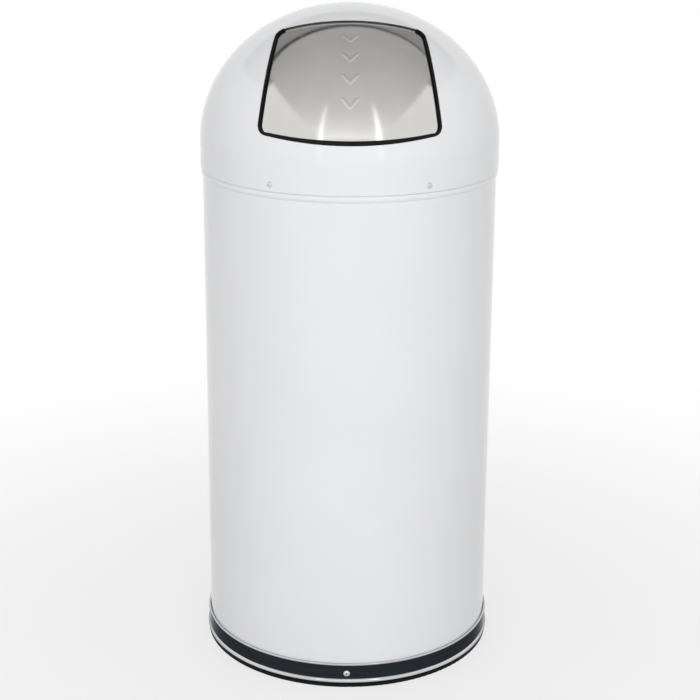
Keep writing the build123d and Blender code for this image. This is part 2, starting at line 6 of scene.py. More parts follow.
import bmesh
import bpy
import numpy as np
from bpy.props import FloatProperty, FloatVectorProperty, IntProperty, PointerProperty
from mathutils import Matrix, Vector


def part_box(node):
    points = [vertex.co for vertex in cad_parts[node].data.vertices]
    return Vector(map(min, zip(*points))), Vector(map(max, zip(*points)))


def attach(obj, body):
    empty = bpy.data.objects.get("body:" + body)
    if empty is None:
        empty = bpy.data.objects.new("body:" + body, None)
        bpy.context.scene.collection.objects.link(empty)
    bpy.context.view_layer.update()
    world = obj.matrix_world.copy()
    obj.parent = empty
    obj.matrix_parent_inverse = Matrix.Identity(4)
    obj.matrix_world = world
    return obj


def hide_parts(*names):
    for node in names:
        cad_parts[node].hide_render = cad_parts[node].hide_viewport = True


bl_info = {
    "name": "Dome top trash can",
    "version": (1, 0, 0),
    "blender": (4, 5, 0),
    "location": "3D View > Sidebar > Trash can",
    "description": "Dresses the frame of a dome top trash can and sets up its studio",
    "category": "Object",
}

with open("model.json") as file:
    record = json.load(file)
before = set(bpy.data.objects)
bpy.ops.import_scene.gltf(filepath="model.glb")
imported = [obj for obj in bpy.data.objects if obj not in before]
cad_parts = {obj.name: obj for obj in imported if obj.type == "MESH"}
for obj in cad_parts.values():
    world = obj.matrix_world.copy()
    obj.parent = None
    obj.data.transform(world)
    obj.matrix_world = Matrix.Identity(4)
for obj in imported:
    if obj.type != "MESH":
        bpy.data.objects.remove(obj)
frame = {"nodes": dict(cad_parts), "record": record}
NODES = frame["nodes"]
SLOTS = {part["node"]: part["material_slot"] for part in frame["record"]["subparts"]}
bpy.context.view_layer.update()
BODY_LOW, BODY_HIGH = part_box("body_shell")
BAND_LOW, BAND_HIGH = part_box("base_ring")
HEAD_LOW, HEAD_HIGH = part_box("dome_head")

MM = 0.001
BEAD_PROUD = 1.4 * MM
BAND_BEAD_PROUD = 1.5 * MM
PLACE_ATTRIBUTE = "outward"
TINY = 1e-9

# The range that holds most of a noise's values.
NOISE_LOW, NOISE_HIGH = 0.3, 0.7

# Numbers of sockets whose names several sockets of the same node share.
MIX_FIRST, MIX_SECOND, MIX_RESULT = 6, 7, 2
RANDOM_MOST, RANDOM_NUMBER = 3, 1


# ---- Settings ----


def length(name, description, default):
    """A size in metres that the panel shows as a distance."""
    return FloatProperty(
        name=name, description=description, default=default, min=0.0, precision=5,
        subtype="DISTANCE", unit="LENGTH",
    )


def angle(name, description, degrees):
    """An angle that the panel shows in degrees."""
    return FloatProperty(
        name=name, description=description, default=math.radians(degrees),
        subtype="ANGLE", unit="ROTATION",
    )


def whole(name, description, default, least):
    """A whole number."""
    return IntProperty(name=name, description=description, default=default, min=least)


def colour(name, description, default):
    """A linear colour."""
    return FloatVectorProperty(
        name=name, description=description, default=default, size=3, min=0.0, max=1.0,
        subtype="COLOR",
    )


class BodySizes(bpy.types.PropertyGroup):
    """Sizes of the tube and the band round its foot."""

    radius: length("Radius", "Outside radius of the tube", BODY_HIGH.x - BEAD_PROUD)
    foot: length("Foot", "Height of the tube's lower edge", BODY_LOW.z)
    rim: length("Rim", "Height of the tube's upper edge", BODY_HIGH.z)
    rim_round: length("Rim round", "Rounding of the upper edge", 0.4 * MM)
    sheet: length("Sheet", "Thickness of the steel sheet", 1 * MM)
    bead_height: length("Bead height", "Height of the swaged bead", 8 * MM)
    bead_proud: length("Bead proud", "How far the bead stands out", BEAD_PROUD)
    bead_drop: length("Bead drop", "From the rim down to the bead", 2 * MM)
    band_foot: length("Band foot", "Height of the band's lower edge", BAND_LOW.z)
    band_top: length("Band top", "Height of the band's rolled edge", BAND_HIGH.z)
    band_radius: length(
        "Band radius", "Outside radius of the band", BAND_HIGH.x - BAND_BEAD_PROUD
    )
    band_bead_height: length("Band bead height", "Height of the band's bead", 6 * MM)
    band_bead_proud: length("Band bead proud", "How far it stands out", BAND_BEAD_PROUD)
    band_roll: length("Band roll", "Radius of the band's rolled edge", 1.2 * MM)
    band_roll_proud: length("Band roll proud", "How far the roll stands out", 0.4 * MM)
    segments: whole("Segments", "Steps round the can's axis", 320, 64)


class HeadSizes(bpy.types.PropertyGroup):
    """Sizes of the dome, its opening and the rubber trim."""

    radius: length("Radius", "Outside radius of the dome", HEAD_HIGH.x)
    edge: length("Edge", "Height of the dome's lower edge", HEAD_LOW.z)
    top: length("Top", "Height of the dome's crown", HEAD_HIGH.z)
    rise: length("Rise", "From the spring line to the crown", 153 * MM)
    sheet: length("Sheet", "Thickness of the steel sheet", 1 * MM)
    hem_height: length("Hem height", "Height of the folded hem", 2 * MM)
    hem_thickness: length("Hem thickness", "Thickness of the folded hem", 2 * MM)
    hem_round: length("Hem round", "Rounding under the hem", 0.9 * MM)
    tilt: angle("Tilt", "Lean of the opening's plane from the vertical", 39)
    opening_top: length("Opening top", "From the plane's middle up to the top edge", 69 * MM)
    opening_top_width: length("Top width", "Width of the opening along its top", 159 * MM)
    corner_drop: length("Corner drop", "From the middle down to the lower corners", 61 * MM)
    corner_width: length("Corner width", "Width between the lower corners", 195.5 * MM)
    opening_bottom: length("Opening bottom", "From the middle down to the sill", 87 * MM)
    corner_radius: length("Corner radius", "Rounding of the opening's corners", 13 * MM)
    trim_lip: length("Trim lip", "Cover of the rubber over the sheet", 0.9 * MM)
    trim_core: length("Trim core", "Rubber beyond the sheet's edge", 0.7 * MM)
    trim_sill: length("Trim sill", "Extra depth of the rubber at the sill", 3 * MM)
    trim_proud: length("Trim proud", "Rubber outside the sheet", 0.9 * MM)
    trim_back: length("Trim back", "Rubber behind the sheet", 1.2 * MM)
    trim_round: length("Trim round", "Rounding of the rubber", 0.8 * MM)
    trim_end: length("Trim end", "Length over which the rubber's ends thin out", 22 * MM)
    trim_gap_width: length("Trim gap", "Bare width along the top edge", 144 * MM)
    rings: whole("Rings", "Steps from the spring line to the crown", 80, 16)


class FlapSizes(bpy.types.PropertyGroup):
    """Sizes of the flap and the marks stamped in it."""

    inset: length("Inset", "From the dome's skin in to the flap's face", 2.5 * MM)
    sheet: length("Sheet", "Thickness of the stainless sheet", 1 * MM)
    overlap: length("Overlap", "Cover behind the opening's edge", 2.2 * MM)
    top_overlap: length("Top overlap", "Cover behind the top edge", 7 * MM)
    mark_width: length("Mark width", "Width of a stamped chevron", 15 * MM)
    mark_height: length("Mark height", "Height of a stamped chevron", 9 * MM)
    mark_stroke: length("Mark stroke", "Width of a chevron's stroke", 3 * MM)
    mark_edge: length("Mark edge", "Width of the stamped slope", 0.9 * MM)
    mark_relief: length("Mark relief", "How far a chevron stands out", 0.6 * MM)
    mark_first: length("First mark", "From the plane's middle up to the top chevron", 39 * MM)
    mark_pitch: length("Mark pitch", "From one chevron down to the next", 27.8 * MM)
    mark_count: whole("Marks", "Number of chevrons", 4, 0)


class RivetSizes(bpy.types.PropertyGroup):
    """Sizes and places of the set blind rivets."""

    head_radius: length("Head radius", "Radius of a rivet's head", 3.6 * MM)
    head_height: length("Head height", "Height of a rivet's head", 1.3 * MM)
    shank_radius: length("Shank radius", "Radius of a rivet's shank", 2 * MM)
    core_radius: length("Core radius", "Radius of the hole left by the mandrel", 0.95 * MM)
    core_depth: length("Core depth", "Depth of that hole", 2.2 * MM)
    bulge_radius: length("Bulge radius", "Radius of the blind end", 2.9 * MM)
    bulge_length: length("Bulge length", "Length of the blind end", 2.6 * MM)
    base_grip: length("Base grip", "Sheets held by a foot rivet", 4.425 * MM)
    base_height: length("Base height", "Height of the foot rivets", 17.5 * MM)
    head_grip: length("Head grip", "Sheets held by a head rivet", 2.125 * MM)
    head_rise: length("Head rise", "From the dome's edge up to its rivets", 7.5 * MM)
    head_spread: angle("Head spread", "From the middle to a head rivet", 30)


class Finishes(bpy.types.PropertyGroup):
    """Colours of the can's finishes."""

    enamel: colour("Enamel", "White enamel of tube and dome", (0.84, 0.845, 0.86))
    # The band's dark colour is a painted dark reflection, standing in for the dark floor that
    # the bright polished band mirrors; the bright colour after it is the painted highlight on
    # the bead's upper face and the rolled edge.
    band: colour("Band", "Dark polished foot band", (0.022, 0.027, 0.033))
    band_painted_highlight: colour("Band edge", "Bare bead and roll of the band", (0.62, 0.63, 0.65))
    stainless: colour("Stainless", "Polished flap", (0.66, 0.65, 0.625))
    rubber: colour("Rubber", "Trim and foot ring", (0.008, 0.008, 0.009))
    plated: colour("Plated", "Bright plated rivets", (0.68, 0.68, 0.7))
    galvanised: colour("Galvanised", "Galvanised sheet of floor and liner", (0.56, 0.58, 0.6))
    zinc: colour("Zinc", "Zinc plated brackets and wire", (0.6, 0.61, 0.62))
    steel: colour("Steel", "Bright drawn rod", (0.55, 0.56, 0.58))
    spring: colour("Spring", "Oiled spring wire", (0.3, 0.305, 0.32))
    nylon: colour("Nylon", "Natural nylon bushes", (0.78, 0.77, 0.71))
    floor: colour("Floor", "Studio floor", (0.6, 0.6, 0.6))


# ---- Finishes ----


def add(tree, kind, inputs=None, **settings):
    """Outputs of a new node with its settings, each input set to a value or an output."""
    made = tree.nodes.new(kind)
    for name, value in settings.items():
        setattr(made, name, value)
    for name, value in (inputs or {}).items():
        if isinstance(value, bpy.types.NodeSocket):
            tree.links.new(value, made.inputs[name])
        else:
            made.inputs[name].default_value = value
    return made.outputs


def clear_tree(holder):
    """The emptied node tree of a new material or world."""
    holder.use_nodes = True
    holder.node_tree.nodes.clear()
    return holder.node_tree


def new_material(name):
    """A new material and its empty tree."""
    material = bpy.data.materials.new(name)
    return material, clear_tree(material)


def calculate(tree, operation, *values, **settings):
    """The result of a sum on outputs and plain numbers."""
    inputs = dict(enumerate(values))
    return add(tree, "ShaderNodeMath", inputs, operation=operation, **settings)["Value"]


def ranged(tree, value, start, end, first, last, **settings):
    """A number that goes from first to last as the value goes from start to end."""
    names = ("Value", "From Min", "From Max", "To Min", "To Max")
    inputs = dict(zip(names, (value, start, end, first, last)))
    return add(tree, "ShaderNodeMapRange", inputs, **settings)["Result"]


def own_place(tree):
    """The piece's own coordinates."""
    return add(tree, "ShaderNodeTexCoord")["Object"]


def along_axis(tree, axis):
    """The piece's own coordinate on one axis."""
    return add(tree, "ShaderNodeSeparateXYZ", {"Vector": own_place(tree)})[axis]


def on_piece(tree, size, stretch=(1, 1, 1)):
    """The piece's own coordinates, with one unit for the size drawn out by stretch."""
    scale = [1 / (size * along) for along in stretch]
    inputs = {"Vector": own_place(tree), "Scale": scale}
    return add(tree, "ShaderNodeMapping", inputs)["Vector"]


def mottle(tree, label, size, stretch=(1, 1, 1), detail=3.0):
    """Soft noise with grains of the given size in metres."""
    inputs = {"Vector": on_piece(tree, size, stretch), "Scale": 1.0, "Detail": detail}
    return add(tree, "ShaderNodeTexNoise", inputs, label=label)[0]


def toned(tree, factor, base, dark, light, low=NOISE_LOW, high=NOISE_HIGH):
    """The base colour times dark to light, as the factor goes from low to high."""
    tone = add(tree, "ShaderNodeValToRGB", {"Fac": factor})["Color"]
    for stop, place, share in zip(tone.node.color_ramp.elements, (low, high), (dark, light)):
        stop.position = place
        stop.color = (*(min(1.0, channel * share) for channel in base), 1.0)
    return tone


def level(tree, factor, least, most):
    """A number that goes from least to most over the middle of a noise's range."""
    return ranged(tree, factor, NOISE_LOW, NOISE_HIGH, least, most)


def shade(tree, tone, gloss, layers, **fixed):
    """Ends a finish. The layers are bump patterns with their depths in metres."""
    inputs = {"Base Color": tone, "Roughness": gloss}
    inputs |= {name.replace("_", " "): value for name, value in fixed.items()}
    below = {}
    for height, depth in layers:
        bump = {"Height": height, "Strength": 1.0, "Distance": depth} | below
        below = {"Normal": add(tree, "ShaderNodeBump", bump)["Normal"]}
    shader = add(tree, "ShaderNodeBsdfPrincipled", inputs | below)
    add(tree, "ShaderNodeOutputMaterial", {"Surface": shader["BSDF"]})


def enamel_finish(tree, base):
    """Gloss stove enamel: faint cloudiness, orange peel and a clear, slightly uneven gloss."""
    cloud = mottle(tree, "Cloudiness", 120 * MM)
    peel = mottle(tree, "Orange peel", 2.4 * MM, detail=1.0)
    waves = mottle(tree, "Rolling waves", 45 * MM, detail=1.0)
    tone = toned(tree, cloud, base, 0.985, 1.015)
    gloss = level(tree, cloud, 0.07, 0.11)
    shade(tree, tone, gloss, [(peel, 0.006 * MM), (waves, 0.05 * MM)])


def metal_finish(tree, base, rough, size, depth, stretch=(1, 1, 1), spread=0.08):
    """Bare or plated metal: gloss and fine relief follow grains of the given size."""
    grain = mottle(tree, "Grain", size, stretch)
    tone = toned(tree, mottle(tree, "Tone", 35 * MM), base, 1 - spread, 1 + spread)
    gloss = level(tree, grain, rough * 0.8, rough * 1.25)
    shade(tree, tone, gloss, [(grain, depth)], Metallic=1.0)


def galvanised_finish(tree, base):
    """Galvanised sheet: crystals of zinc, each with a tone and gloss of its own."""
    inputs = {"Vector": on_piece(tree, 9 * MM), "Scale": 1.0}
    cells = add(tree, "ShaderNodeTexVoronoi", inputs, label="Zinc crystals")
    crystal = add(tree, "ShaderNodeSeparateColor", {"Color": cells["Color"]})["Red"]
    tone = toned(tree, crystal, base, 0.82, 1.1, 0.0, 1.0)
    grain = mottle(tree, "Zinc grain", 1.5 * MM)
    shade(tree, tone, level(tree, crystal, 0.32, 0.5), [(grain, 0.01 * MM)], Metallic=1.0)


def band_finish(tree, base, edge, sizes):
    """Polished band with painted reflections: a painted dark over its face, and a painted
    highlight on the bead's upper face and the rolled edge.
    """
    height = along_axis(tree, "Z")
    # Painted highlight on the upper part of the bead, which faces the ceiling; the bead's
    # lower part keeps the painted dark of the floor's reflection.
    painted_highlight_middle = sizes.band_foot + 0.7 * sizes.band_bead_height
    painted_highlight_half = 0.3 * sizes.band_bead_height
    bead = calculate(
        tree, "COMPARE", height, painted_highlight_middle, painted_highlight_half, label="On the upper face of the bead"
    )
    # The rolled edge gets the painted highlight as well.
    roll_foot = sizes.band_top - 2 * sizes.band_roll
    roll = calculate(tree, "GREATER_THAN", height, roll_foot, label="On the rolled edge")
    streaks = mottle(tree, "Polishing streaks", 1.2 * MM, stretch=(60, 60, 1))
    # Blends the painted dark reflection and the painted highlight by these masks, with
    # polishing streaks in both.
    tones = {
        "Factor": calculate(tree, "MAXIMUM", bead, roll),
        MIX_FIRST: toned(tree, streaks, base, 0.8, 1.3),
        MIX_SECOND: toned(tree, streaks, edge, 0.9, 1.1),
    }
    blend = add(tree, "ShaderNodeMix", tones, data_type="RGBA")
    shade(
        tree, blend[MIX_RESULT], level(tree, streaks, 0.1, 0.17),
        [(streaks, 0.002 * MM)], Metallic=1.0, Specular_Tint=(0.55, 0.56, 0.58, 1.0),
    )


def rubber_finish(tree, base, rough):
    """Moulded rubber: fine pebbles and a trace of dust."""
    dust = mottle(tree, "Dust", 14 * MM)
    tone = toned(tree, dust, base, 0.8, 1.5)
    pebbles = mottle(tree, "Pebbles", 0.7 * MM)
    gloss = level(tree, dust, rough, rough + 0.12)
    shade(tree, tone, gloss, [(pebbles, 0.02 * MM)], Specular_IOR_Level=0.08)


def nylon_finish(tree, base):
    """Natural nylon: a milky, slightly uneven tone."""
    milk = mottle(tree, "Milkiness", 5 * MM)
    grain = mottle(tree, "Mould grain", 0.6 * MM)
    tone = toned(tree, milk, base, 0.93, 1.04)
    shade(tree, tone, level(tree, milk, 0.38, 0.5), [(grain, 0.008 * MM)])


def finish(node):
    """The material of a node's slot, made once."""
    slot = SLOTS[node]
    name = slot + "_finish"
    if name in bpy.data.materials:
        return bpy.data.materials[name]
    tones = bpy.context.scene.trash_can_finishes
    # The band's painted dark reflection colour, its painted highlight colour and its sizes.
    band = (tones.band, tones.band_painted_highlight, bpy.context.scene.trash_can_body)
    flap_brushing, rod_drawing = (30, 1, 1), (40, 1, 1)
    makers = {
        "white_enamel": (enamel_finish, tones.enamel),
        "head_enamel": (enamel_finish, tones.enamel),
        "polished_band": (band_finish, *band),
        "flap_stainless": (
            metal_finish, tones.stainless, 0.11, 1.1 * MM, 0.002 * MM, flap_brushing, 0.025
        ),
        "bright_rivet": (metal_finish, tones.plated, 0.2, 0.8 * MM, 0.004 * MM),
        "foot_rubber": (rubber_finish, tones.rubber, 0.55),
        "trim_rubber": (rubber_finish, tones.rubber, 0.4),
        "galvanised_sheet": (galvanised_finish, tones.galvanised),
        "galvanised_liner": (galvanised_finish, tones.galvanised),
        "zinc_plate": (metal_finish, tones.zinc, 0.34, 1.5 * MM, 0.008 * MM),
        "rod_steel": (metal_finish, tones.steel, 0.22, 0.5 * MM, 0.003 * MM, rod_drawing),
        "spring_steel": (metal_finish, tones.spring, 0.3, 0.5 * MM, 0.004 * MM),
        "bush_nylon": (nylon_finish, tones.nylon),
        "bail_wire": (metal_finish, tones.zinc, 0.3, 0.9 * MM, 0.006 * MM),
    }
    material, tree = new_material(name)
    maker, *values = makers[slot]
    maker(tree, *values)
    return material


# ---- Shapes ----


def arc(centre, radius, start, end, steps):
    """Points of an arc, from the start to the end angle in degrees."""
    turns = np.radians(np.linspace(start, end, steps + 1))
    return [
        (centre[0] + radius * math.cos(turn), centre[1] + radius * math.sin(turn))
        for turn in turns
    ]


def bead_arc(radius, low, high, proud, steps=24):
    """Arc that leaves a wall of the given radius at two heights and stands proud between."""
    half = (high - low) / 2
    curve = (half * half + proud * proud) / (2 * proud)
    reach = math.degrees(math.asin(half / curve))
    return arc((radius + proud - curve, low + half), curve, -reach, reach, steps)


def new_object(name, mesh):
    """A new object at the world's origin."""
    piece = bpy.data.objects.new(name, mesh)
    bpy.context.scene.collection.objects.link(piece)
    return piece


def tube_faces(rings):
    """Faces between rings of vertex numbers. A pole repeats its one number."""
    faces = []
    for lower, upper in zip(rings, rings[1:]):
        for i in range(len(lower)):
            j = (i + 1) % len(lower)
            faces.append(tuple(dict.fromkeys((lower[i], lower[j], upper[j], upper[i]))))
    return faces


def closed_mesh(name, vertices, faces):
    """A closed mesh whose faces all look outwards."""
    mesh = bpy.data.meshes.new(name)
    mesh.from_pydata(vertices, [], faces)
    shape = bmesh.new()
    shape.from_mesh(mesh)
    bmesh.ops.recalc_face_normals(shape, faces=shape.faces)
    shape.to_mesh(mesh)
    shape.free()
    return mesh


def turned_mesh(name, points, segments):
    """A profile turned about the axis. Points on the axis become poles."""
    vertices, rings = [], []
    for radius, height in points:
        count = segments if radius > TINY else 1
        rings.append([len(vertices) + i % count for i in range(segments)])
        turns = [2 * math.pi * i / segments for i in range(count)]
        vertices += [(radius * math.cos(t), radius * math.sin(t), height) for t in turns]
    return closed_mesh(name, vertices, tube_faces(rings))


def smooth(mesh, sharp_degrees=35):
    """Smooth shading with sharp edges over an angle."""
    mesh.shade_smooth()
    mesh.set_sharp_from_angle(angle=math.radians(sharp_degrees))


def start_tree(name, inputs):
    """A geometry tree and its named inputs: those given and a finish."""
    tree = bpy.data.node_groups.new(name, "GeometryNodeTree")
    for label, kind in (*inputs, ("Finish", "Material")):
        tree.interface.new_socket(label, in_out="INPUT", socket_type="NodeSocket" + kind)
    tree.interface.new_socket("Mesh", in_out="OUTPUT", socket_type="NodeSocketGeometry")
    return tree, add(tree, "NodeGroupInput")


def close_tree(tree, given, geometry):
    """Ends a tree: real meshes in the given finish."""
    realize = add(tree, "GeometryNodeRealizeInstances", {"Geometry": geometry})
    inputs = {"Geometry": realize["Geometry"], "Material": given["Finish"]}
    paint = add(tree, "GeometryNodeSetMaterial", inputs)
    add(tree, "NodeGroupOutput", {"Mesh": paint["Geometry"]})
    return tree


def sweep_tree():
    """Sweeps a profile round a circle, as sheet is rolled and beaded."""
    sockets = [("Profile", "Geometry"), ("Path Radius", "Float"), ("Segments", "Int")]
    tree, given = start_tree("Rolled sheet", sockets)
    outline = add(tree, "GeometryNodeMeshToCurve", {"Mesh": given["Profile"]})
    inputs = {"Radius": given["Path Radius"], "Resolution": given["Segments"]}
    circle = add(tree, "GeometryNodeCurvePrimitiveCircle", inputs)
    inputs = {"Curve": circle["Curve"], "Profile Curve": outline["Curve"]}
    sweep = add(tree, "GeometryNodeCurveToMesh", inputs)
    return close_tree(tree, given, sweep["Mesh"])


def rivet_tree():
    """Sets a rivet on each place, its head turned outwards and spun by a fixed seed."""
    sockets = [("Places", "Geometry"), ("Rivet", "Object"), ("Seed", "Int")]
    tree, given = start_tree("Set rivets", sockets)
    inputs = {"Name": PLACE_ATTRIBUTE}
    outward = add(tree, "GeometryNodeInputNamedAttribute", inputs, data_type="FLOAT_VECTOR")
    inputs = {"Vector": outward["Attribute"]}
    turn = add(tree, "FunctionNodeAlignRotationToVector", inputs, axis="Z")
    inputs = {RANDOM_MOST: 2 * math.pi, "Seed": given["Seed"]}
    chance = add(tree, "FunctionNodeRandomValue", inputs, data_type="FLOAT")
    spin = add(tree, "FunctionNodeAxisAngleToRotation", {"Angle": chance[RANDOM_NUMBER]})
    inputs = {"Rotation": turn["Rotation"], "Rotate By": spin["Rotation"]}
    both = add(tree, "FunctionNodeRotateRotation", inputs, rotation_space="LOCAL")
    inputs = {"Object": given["Rivet"], "As Instance": True}
    rivet = add(tree, "GeometryNodeObjectInfo", inputs)["Geometry"]
    inputs = {"Points": given["Places"], "Instance": rivet, "Rotation": both["Rotation"]}
    place = add(tree, "GeometryNodeInstanceOnPoints", inputs)
    return close_tree(tree, given, place["Instances"])


def grow(piece, tree, **values):
    """Runs a node tree on an object and keeps the result as its plain mesh."""
    modifier = piece.modifiers.new(tree.name, "NODES")
    modifier.node_group = tree
    sockets = {
        item.name: item.identifier
        for item in tree.interface.items_tree
        if item.in_out == "INPUT"
    }
    for name, value in values.items():
        modifier[sockets[name.replace("_", " ").title()]] = value
    keep_result(piece, modifier)


def keep_result(piece, modifier):
    """Turns the object's evaluated shape into its plain mesh and removes the modifier."""
    depsgraph = bpy.context.evaluated_depsgraph_get()
    mesh = bpy.data.meshes.new_from_object(piece.evaluated_get(depsgraph))
    piece.modifiers.remove(modifier)
    piece.data = mesh


def settle(piece, body, node):
    """Gives a finished piece its finish and its body, and hides the CAD node that it stands
    for.
    """
    piece.data.materials.clear()
    piece.data.materials.append(finish(node))
    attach(piece, body)
    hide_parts(node)


def roll_piece(node, points, path_radius):
    """A closed profile rolled round the can's axis, as a piece of the root body."""
    count = len(points)
    places = [(radius - path_radius, -height, 0.0) for radius, height in points]
    mesh = bpy.data.meshes.new(node)
    mesh.from_pydata(places, [(i, (i + 1) % count) for i in range(count)], [])
    piece = new_object(node + "_fine", mesh)
    segments = bpy.context.scene.trash_can_body.segments
    grow(piece, sweep_tree(), path_radius=path_radius, segments=segments, finish=finish(node))
    smooth(piece.data)
    settle(piece, "root", node)


# ---- The opening ----


def opening_half(sizes, lift=0.0, step=1.2 * MM):
    """Right half of the opening's outline on its plane, from the sill's middle to the top's.

    Returns the points, their outward directions and the indexes of the two corners."""
    top = sizes.opening_top + lift
    round_radius = sizes.corner_radius
    corner = np.array((sizes.corner_width / 2, -sizes.corner_drop))
    rise = np.array((sizes.opening_top_width / 2, top)) - corner
    along = rise / np.linalg.norm(rise)
    outward = np.array((along[1], -along[0]))
    sag = sizes.opening_bottom - sizes.corner_drop
    sill_radius = (corner[0] ** 2 + sag**2) / (2 * sag)
    sill_centre = np.array((0.0, sill_radius - sizes.opening_bottom))
    # The corner's circle touches the side's line and the sill's arc from within.
    start = corner - outward * round_radius - sill_centre
    reach = sill_radius - round_radius
    middle = start @ along
    shift = -middle - math.sqrt(middle**2 - start @ start + reach**2)
    if abs(shift) > np.linalg.norm(rise):
        shift = -middle + math.sqrt(middle**2 - start @ start + reach**2)
    lower = sill_centre + start + along * shift
    climb = (top - round_radius - lower[1]) / along[1]
    upper = lower + along * climb
    points, ways = [], []

    def add_arc(centre, radius, first, last):
        steps = max(3, math.ceil(abs(last - first) * radius / step))
        for turn in np.linspace(first, last, steps + 1)[:-1]:
            way = np.array((math.cos(turn), math.sin(turn)))
            points.append(centre + radius * way)
            ways.append(way)

    def add_line(first, last, way):
        steps = max(2, math.ceil(np.linalg.norm(last - first) / step))
        for share in np.linspace(0, 1, steps + 1)[:-1]:
            points.append(first + (last - first) * share)
            ways.append(way)

    sill_turn = math.atan2(*(lower - sill_centre)[::-1])
    side_turn = math.atan2(outward[1], outward[0])
    add_arc(sill_centre, sill_radius, -math.pi / 2, sill_turn)
    first_round = len(points)
    add_arc(lower, round_radius, sill_turn, side_turn)
    low_corner = (first_round + len(points)) // 2
    add_line(lower + outward * round_radius, upper + outward * round_radius, outward)
    second_round = len(points)
    add_arc(upper, round_radius, side_turn, math.pi / 2)
    high_corner = (second_round + len(points)) // 2
    add_line(np.array((upper[0], top)), np.array((0.0, top)), np.array((0.0, 1.0)))
    points.append(np.array((0.0, top)))
    ways.append(np.array((0.0, 1.0)))
    return np.array(points), np.array(ways), (low_corner, high_corner)


def on_dome(sizes, inset, flat):
    """The dome's skin, set in by the inset, straight in front of points of the plane.

    Returns points of the skin and its outward directions there."""
    flat = np.asarray(flat, float)
    across, up = flat[..., 0], flat[..., 1]
    radius, rise = sizes.radius - inset, sizes.rise - inset
    sine, cosine = math.sin(sizes.tilt), math.cos(sizes.tilt)
    square = (cosine / radius) ** 2 + (sine / rise) ** 2
    linear = 2 * up * sine * cosine * (1 / rise**2 - 1 / radius**2)
    rest = (across**2 + (up * sine) ** 2) / radius**2 + (up * cosine / rise) ** 2 - 1
    reach = (-linear + np.sqrt(linear**2 - 4 * square * rest)) / (2 * square)
    deep = up * sine - reach * cosine
    high = up * cosine + reach * sine
    places = np.stack((across, deep, high), axis=-1)
    ways = places / np.array((radius**2, radius**2, rise**2))
    ways /= np.linalg.norm(ways, axis=-1, keepdims=True)
    return places + (0, 0, sizes.top - sizes.rise), ways


def read(items, name, width=3, kind=float):
    """One property of a mesh's items as rows of the given width."""
    values = np.empty(width * len(items), kind)
    items.foreach_get(name, values)
    return values.reshape(-1, width)


def set_dome_normals(mesh, sizes):
    """Exact normals of the dome's skin on its two faces, and flat ones on its cut edges."""
    curved_within = math.radians(25)
    sides = read(mesh.polygons, "loop_total", 1, np.int32)[:, 0]
    flat = np.repeat(read(mesh.polygons, "normal"), sides, axis=0)
    ways = read(mesh.vertices, "co") - (0, 0, sizes.top - sizes.rise)
    ways[:, 2] = np.maximum(ways[:, 2], 0)
    ways /= np.array((sizes.radius**2, sizes.radius**2, sizes.rise**2))
    ways /= np.maximum(np.linalg.norm(ways, axis=1, keepdims=True), TINY)
    exact = ways[read(mesh.loops, "vertex_index", 1, np.int32)[:, 0]]
    facing = np.sum(exact * flat, axis=1)
    curved = np.abs(facing) > math.cos(curved_within)
    normals = np.where(curved[:, None], exact * np.sign(facing)[:, None], flat)
    mesh.shade_smooth()
    mesh.normals_split_custom_set(normals.tolist())


def opening_cutter(sizes):
    """A closed prism through the front of the dome, in the shape of the opening."""
    right, _, _ = opening_half(sizes)
    flat = np.concatenate((right, right[-2:0:-1] * (-1, 1)))
    sine, cosine = math.sin(sizes.tilt), math.cos(sizes.tilt)
    spring = sizes.top - sizes.rise
    near, away = 0.35 * sizes.radius, 1.2 * sizes.radius
    vertices = [
        (u, v * sine - reach * cosine, spring + v * cosine + reach * sine)
        for reach in (near, away)
        for u, v in flat
    ]
    ends = [range(len(flat)), range(len(flat), 2 * len(flat))]
    mesh = closed_mesh("Opening cutter", vertices, [*tube_faces(ends), *ends])
    return new_object("Opening cutter", mesh)


# ---- Pieces ----


class TRASHCAN_OT_body_shell(bpy.types.Operator):
    """Rolls the tube with its swaged bead under the head"""

    bl_idname = "trash_can.body_shell"
    bl_label = "Make the body shell"

    def execute(self, context):
        sizes = context.scene.trash_can_body
        inner = sizes.radius - sizes.sheet
        edge = sizes.rim_round
        bead_top = sizes.rim - sizes.bead_drop
        bead = (bead_top - sizes.bead_height, bead_top, sizes.bead_proud)
        points = [(sizes.radius, sizes.foot), *bead_arc(sizes.radius, *bead)]
        points += arc((sizes.radius - edge, sizes.rim - edge), edge, 0, 90, steps=5)
        points += arc((inner + edge, sizes.rim - edge), edge, 90, 180, steps=5)
        points += [*bead_arc(inner, *bead)[::-1], (inner, sizes.foot)]
        roll_piece("body_shell", points, sizes.radius)
        return {"FINISHED"}


class TRASHCAN_OT_base_ring(bpy.types.Operator):
    """Rolls the foot band with its half-round bead and rolled upper edge"""

    bl_idname = "trash_can.base_ring"
    bl_label = "Make the foot band"

    def execute(self, context):
        sizes = context.scene.trash_can_body
        outer, inner = sizes.band_radius, sizes.band_radius - sizes.sheet
        roll = sizes.band_roll
        centre = (outer + sizes.band_roll_proud - roll, sizes.band_top - roll)
        bead_top = sizes.band_foot + sizes.band_bead_height
        leave, meet = (
            math.degrees(math.acos((wall - centre[0]) / roll)) for wall in (outer, inner)
        )
        points = [(inner, sizes.band_foot)]
        points += bead_arc(outer, sizes.band_foot, bead_top, sizes.band_bead_proud)
        points += arc(centre, roll, -leave, 360 - meet, steps=28)
        roll_piece("base_ring", points, outer)
        return {"FINISHED"}


